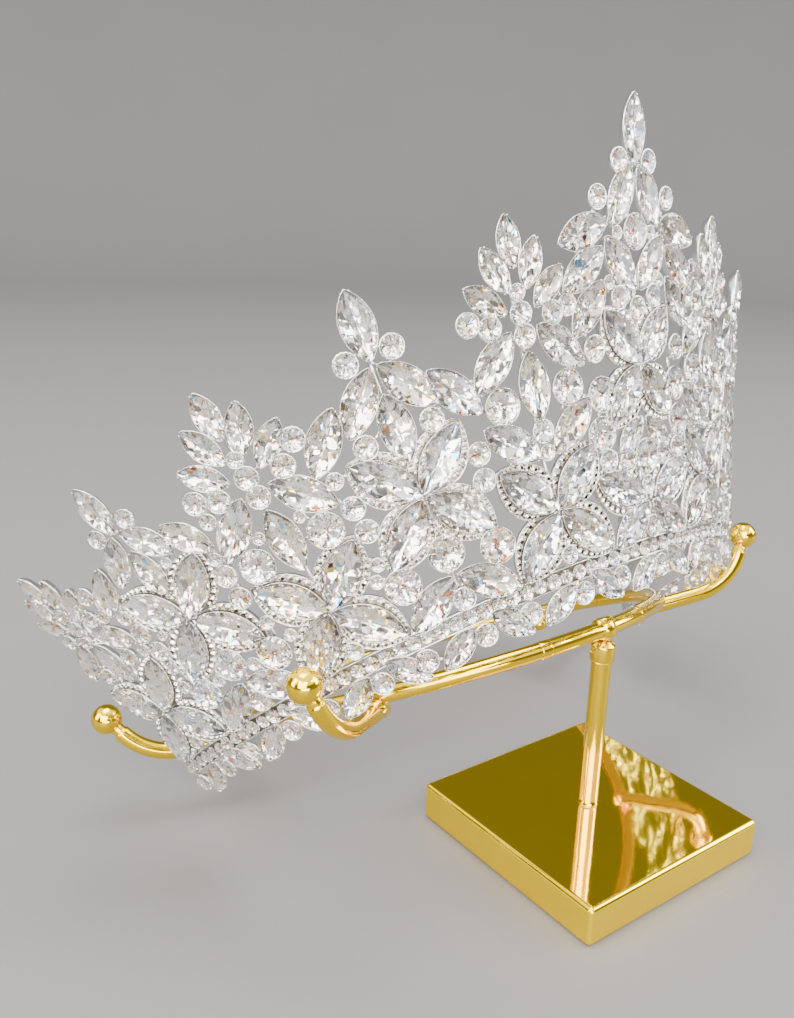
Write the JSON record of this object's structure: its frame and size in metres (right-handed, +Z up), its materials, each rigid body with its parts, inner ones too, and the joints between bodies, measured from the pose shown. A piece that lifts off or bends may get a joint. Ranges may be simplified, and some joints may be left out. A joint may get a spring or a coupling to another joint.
{
  "type": "crystal crown on a display stand",
  "caption": "Tall open-backed crystal crown resting on a tilted wire cradle with ball-tipped hooks, a post and a square base.",
  "frame": {"origin": "centre of the base's underside, on the floor", "axes": "+Z up, -Y towards the front of the crown, +X to the crown's left as worn"},
  "size_m": [0.2258, 0.1433, 0.1802],
  "materials": {
    "base": "mirror polish",
    "post": "polished",
    "cradle": "polished",
    "frame": "bright silver plate",
    "petals": "faceted, foil backed",
    "navettes": "faceted, foil backed",
    "leaves": "faceted, foil backed",
    "rounds": "faceted, foil backed",
    "dots": "faceted, foil backed"
  },
  "bodies": {
    "root": {"base_plate": "base", "post": "post", "cradle": "cradle", "crown_frame": "frame", "petal_stones": "petals", "navette_stones": "navettes", "leaf_stones": "leaves", "round_stones": "rounds", "dot_stones": "dots"}
  },
  "joints": []
}
